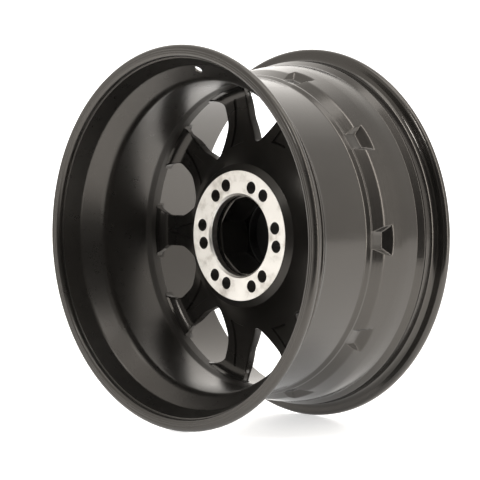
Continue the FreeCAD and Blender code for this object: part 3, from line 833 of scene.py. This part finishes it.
class WHEEL_OT_barrel(bpy.types.Operator):
    """Build the barrel with its flanges, pockets and valve hole"""

    bl_idname = "wheel.barrel"
    bl_label = "Barrel"

    def execute(self, context):
        sizes, finish = context.scene.wheel_sizes, context.scene.wheel_finish
        material = barrel_coat(finish)
        points, faces = barrel_surface(sizes)
        piece = new_piece("barrel", points, faces, material)
        points, faces = valve_cutter(sizes)
        cut(piece, new_piece("valve_rod", points, faces, material))
        settled(piece)
        return {"FINISHED"}


class WHEEL_OT_disc(bpy.types.Operator):
    """Build the spoked disc with its windows, recesses and crowns"""

    bl_idname = "wheel.disc"
    bl_label = "Disc"

    def execute(self, context):
        sizes, finish = context.scene.wheel_sizes, context.scene.wheel_finish
        points, faces = disc_surface(sizes)
        settled(new_piece("disc", points, faces, disc_coat(finish)))
        return {"FINISHED"}


class WHEEL_OT_hub(bpy.types.Operator):
    """Build the hub with its bore, eight-sided core and lug holes"""

    bl_idname = "wheel.hub"
    bl_label = "Hub"

    def execute(self, context):
        sizes, finish = context.scene.wheel_sizes, context.scene.wheel_finish
        material = hub_coat(finish)
        points, faces = hub_surface()
        piece = new_piece("hub", points, faces, material)
        points, faces = lug_cutters(sizes)
        cut(piece, new_piece("lug_rods", points, faces, material))
        settled(piece)
        return {"FINISHED"}


class WHEEL_OT_cap(bpy.types.Operator):
    """Give the centre cap its moulded finish"""

    bl_idname = "wheel.cap"
    bl_label = "Centre cap"

    def execute(self, context):
        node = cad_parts["center_cap"]
        node.data.materials.clear()
        node.data.materials.append(cap_material(context.scene.wheel_finish))
        return {"FINISHED"}


class WHEEL_OT_studio(bpy.types.Operator):
    """Set up the white floor, the light and the camera"""

    bl_idname = "wheel.studio"
    bl_label = "Studio"

    def execute(self, context):
        scene = context.scene
        studio = scene.wheel_studio
        scene.view_settings.view_transform = "Standard"
        self.white_world(scene, studio)
        self.white_floor(studio)
        self.soft_lamp("key_lamp", KEY_LAMP_AT, 0.6, 1.1 * studio.key_power)
        self.soft_lamp("top_lamp", TOP_LAMP_AT, 1.6, studio.key_power)
        self.photo_camera(scene, studio)
        return {"FINISHED"}

    def white_world(self, scene, studio):
        """White where it is seen; as light, white behind the wheel, dim on the camera's side.

        A brighter arch stands beside the wheel and draws the bright lines on its rounded edges.
        """
        world = bpy.data.worlds.new("white_world")
        scene.world = world
        world.use_nodes = True
        tree = world.node_tree
        back = tree.nodes["Background"]
        place = tree.nodes.new("ShaderNodeTexCoord").outputs["Generated"]
        along = add_node(tree, "ShaderNodeVectorMath", operation="DOT_PRODUCT")
        tree.links.new(place, along.inputs[0])
        along.inputs[1].default_value = (-math.sin(studio.azimuth), math.cos(studio.azimuth), 0.0)
        away = along.outputs["Value"]
        level = ramp(tree, away, -0.85, -0.35, studio.room_light, 1.0)
        level = calc(tree, "ADD", level, ramp(tree, away, 0.35, 0.9, 0.0, studio.back_light))
        axes = tree.nodes.new("ShaderNodeSeparateXYZ")
        tree.links.new(place, axes.inputs[0])
        forward = axes.outputs["Y"]
        arch = calc(tree, "MULTIPLY", ramp(tree, forward, 0.13, 0.20), ramp(tree, forward, 0.38, 0.30))
        arch = calc(tree, "MULTIPLY", arch, ramp(tree, axes.outputs["X"], -0.1, 0.3))
        level = calc(tree, "ADD", level, calc(tree, "MULTIPLY", arch, studio.arch_light))
        seen = tree.nodes.new("ShaderNodeLightPath").outputs["Is Camera Ray"]
        tree.links.new(blend(tree, seen, tuple(studio.light_tint), (1.0, 1.0, 1.0)), back.inputs["Color"])
        tree.links.new(calc(tree, "MAXIMUM", level, seen), back.inputs["Strength"])

    def white_floor(self, studio):
        """Large white floor under the wheel, short of the camera."""
        low = float(CAD_BOX[0][2]) / MM
        away = np.array([-math.sin(studio.azimuth), math.cos(studio.azimuth)])
        aside = np.array([away[1], -away[0]])
        near, far = -750.0, 6000.0
        ring = np.array([[near, -far], [far, -far], [far, far], [near, far]])
        ring = ring[::-1] @ np.stack([away, aside])
        points = np.column_stack([ring, np.full(4, low)])
        material, tree, shader = node_tree("white_floor")
        place = tree.nodes.new("ShaderNodeTexCoord").outputs["Object"]
        tone = noise(tree, place, 0.6, 2.0)
        tree.links.new(blend(tree, tone, (0.94, 0.94, 0.94), (0.96, 0.96, 0.96)), shader.inputs["Base Color"])
        tree.links.new(ramp(tree, tone, 0.0, 1.0, 0.28, 0.34), shader.inputs["Roughness"])
        shader.inputs["Emission Color"].default_value = (1.0, 1.0, 1.0, 1.0)
        path = tree.nodes.new("ShaderNodeLightPath")
        seen = calc(tree, "MAXIMUM", path.outputs["Is Camera Ray"], path.outputs["Is Glossy Ray"])
        tree.links.new(calc(tree, "MULTIPLY", seen, 0.6), shader.inputs["Emission Strength"])
        floor = new_piece("floor", points, np.array([[0, 1, 2, 3]]), material)

    def soft_lamp(self, name, place, width, power):
        """Square area lamp that faces the wheel."""
        light = bpy.data.lights.new(name, "AREA")
        light.size = width
        light.energy = power
        lamp = bpy.data.objects.new(name, light)
        bpy.context.scene.collection.objects.link(lamp)
        lamp.location = place
        lamp.rotation_euler = (-lamp.location).to_track_quat("-Z", "Y").to_euler()

    def photo_camera(self, scene, studio):
        """Long lens on the hub side, aimed at the middle of the wheel."""
        camera = bpy.data.cameras.new("camera")
        camera.sensor_width = 36.0
        camera.lens = 167.2
        camera.shift_x = -0.011
        camera.shift_y = -0.0096
        eye = bpy.data.objects.new("camera", camera)
        scene.collection.objects.link(eye)
        level = studio.distance * math.cos(studio.elevation)
        eye.location = (level * math.sin(studio.azimuth), -level * math.cos(studio.azimuth),
                        studio.distance * math.sin(studio.elevation))
        eye.rotation_euler = (-eye.location).to_track_quat("-Z", "Y").to_euler()
        scene.camera = eye


class WHEEL_PT_panel(bpy.types.Panel):
    """Sidebar list of the wheel's pieces"""

    bl_label = "Wheel"
    bl_idname = "WHEEL_PT_panel"
    bl_space_type = "VIEW_3D"
    bl_region_type = "UI"
    bl_category = "Wheel"

    def draw(self, context):
        for group in (context.scene.wheel_sizes, context.scene.wheel_finish, context.scene.wheel_studio):
            box = self.layout.box()
            for key in group.__annotations__:
                box.prop(group, key)
        for operator in OPERATORS:
            self.layout.operator(operator.bl_idname)


GROUPS = {"wheel_sizes": WheelSizes, "wheel_finish": WheelFinish, "wheel_studio": WheelStudio}
OPERATORS = (WHEEL_OT_barrel, WHEEL_OT_disc, WHEEL_OT_hub, WHEEL_OT_cap, WHEEL_OT_studio)


def register():
    """Register the settings, the operators and the panel."""
    for key, group in GROUPS.items():
        bpy.utils.register_class(group)
        setattr(bpy.types.Scene, key, bpy.props.PointerProperty(type=group))
    for operator in OPERATORS:
        bpy.utils.register_class(operator)
    bpy.utils.register_class(WHEEL_PT_panel)


def unregister():
    """Take back what register did."""
    bpy.utils.unregister_class(WHEEL_PT_panel)
    for operator in reversed(OPERATORS):
        bpy.utils.unregister_class(operator)
    for key, group in GROUPS.items():
        delattr(bpy.types.Scene, key)
        bpy.utils.unregister_class(group)


def main():
    """Build the wheel and the studio."""
    register()
    bpy.ops.wheel.barrel()
    bpy.ops.wheel.disc()
    bpy.ops.wheel.hub()
    bpy.ops.wheel.cap()
    bpy.ops.wheel.studio()


if __name__ == "__main__":
    main()
